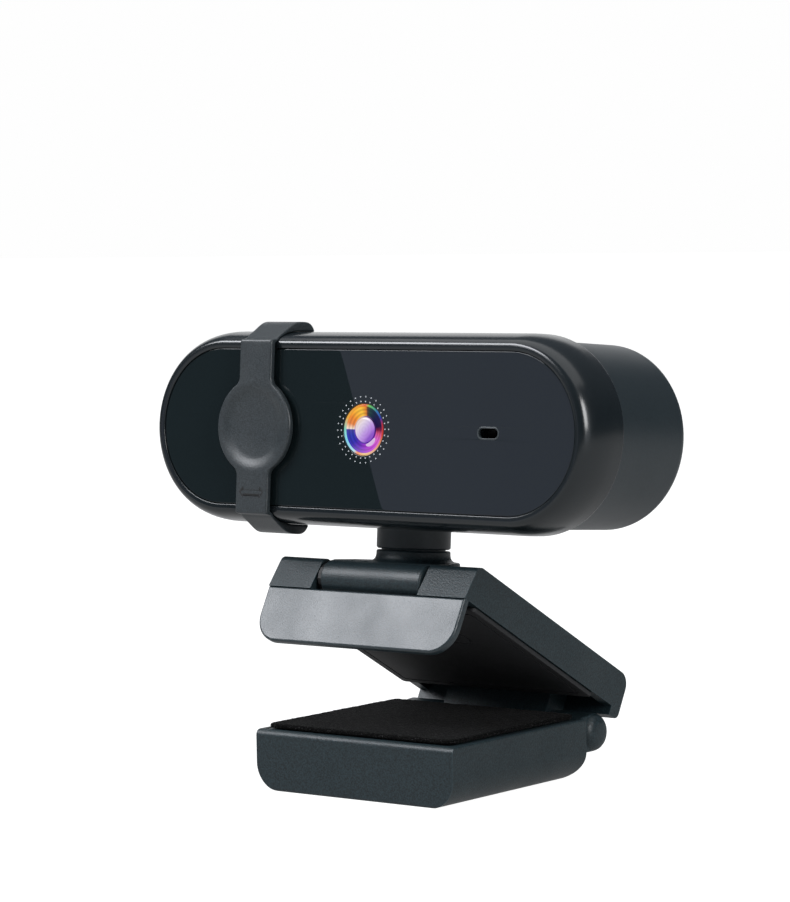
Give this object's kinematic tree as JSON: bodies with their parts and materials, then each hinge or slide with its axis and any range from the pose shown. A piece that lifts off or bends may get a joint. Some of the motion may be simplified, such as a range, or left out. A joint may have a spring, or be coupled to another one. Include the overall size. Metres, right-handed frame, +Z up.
{
  "type": "webcam",
  "caption": "Clip-on webcam: long rounded camera head with a sliding lens cover, on a swivel neck, tilting knuckle and folding monitor clip that also stands on a desk.",
  "frame": {"origin": "centre of the bounding box at its lowest plane, the underside of the clip's base", "axes": "+X along the head's length, to the right seen from the front; +Y towards the back; +Z up; the lens looks towards -Y"},
  "size_m": [0.1, 0.0538, 0.0833],
  "materials": {
    "clip_plastic": "fine spark-eroded moulded grain",
    "foam_pad": "open-cell foam, matt black",
    "brass_insert": "turned",
    "steel": "zinc plated",
    "inner_plastic": "moulded, matt black",
    "rubber_grip": "matt rubber",
    "bezel_gloss": "semi-gloss moulded",
    "front_panel": "polished, clear over black",
    "housing_satin": "satin moulded",
    "lens_glass": "multi-coated",
    "chip_black": "moulded epoxy",
    "circuit_board": "solder mask",
    "connector_white": "moulded nylon",
    "cover_plastic": "fine moulded grain"
  },
  "bodies": {
    "base": {"base_shell": "clip_plastic", "base_lid": "clip_plastic", "base_pad": "foam_pad", "tripod_nut": "brass_insert", "hinge_pin": "steel", "base_screw_1": "steel", "base_screw_2": "steel", "base_screw_3": "steel", "base_screw_4": "steel"},
    "arm": {"arm_cover": "clip_plastic", "arm_lining": "inner_plastic", "arm_pad": "rubber_grip", "flap_pad": "rubber_grip", "tilt_pin": "steel", "arm_screw_1": "steel", "arm_screw_2": "steel", "arm_screw_3": "steel", "arm_screw_4": "steel"},
    "knuckle": {"knuckle": "clip_plastic", "tilt_washer": "steel", "pan_washer": "steel", "pan_screw": "steel"},
    "head": {"front_bezel": "bezel_gloss", "front_glass": "front_panel", "rear_housing": "housing_satin", "lens_front_element": "lens_glass", "aperture_ring": "inner_plastic", "lens_barrel": "inner_plastic", "lens_rear_element": "lens_glass", "lens_holder": "inner_plastic", "ir_filter": "lens_glass", "image_sensor": "chip_black", "main_board": "circuit_board", "controller_chip": "chip_black", "cable_connector": "connector_white", "flash_memory": "chip_black", "board_screw_1": "steel", "board_screw_2": "steel", "microphone": "steel", "mic_boot": "rubber_grip", "case_screw_1": "steel", "case_screw_2": "steel", "case_screw_3": "steel", "case_screw_4": "steel", "cable_gland": "rubber_grip"},
    "cover": {"privacy_cover": "cover_plastic"}
  },
  "joints": [
    {"name": "clip_hinge", "type": "hinge", "parent": "base", "child": "arm", "pos_m": [-0.00047, 0.01787, 0.0079], "axis": [-1, 0, 0], "range_deg": [-28.6, 75]},
    {"name": "neck_tilt", "type": "hinge", "parent": "arm", "child": "knuckle", "pos_m": [-0.00047, -0.01737, 0.0377], "axis": [1, 0, 0], "range_deg": [-23.5, 60]},
    {"name": "head_swivel", "type": "hinge", "parent": "knuckle", "child": "head", "pos_m": [-0.00022, -0.00795, 0.04235], "axis": [0, 0.0819, 0.9966], "continuous": true},
    {"name": "cover_slide", "type": "slide", "parent": "head", "child": "cover", "axis": [0.9996, -0.0285, 0.0023], "range_m": [-0.0064, 0.0528]}
  ]
}
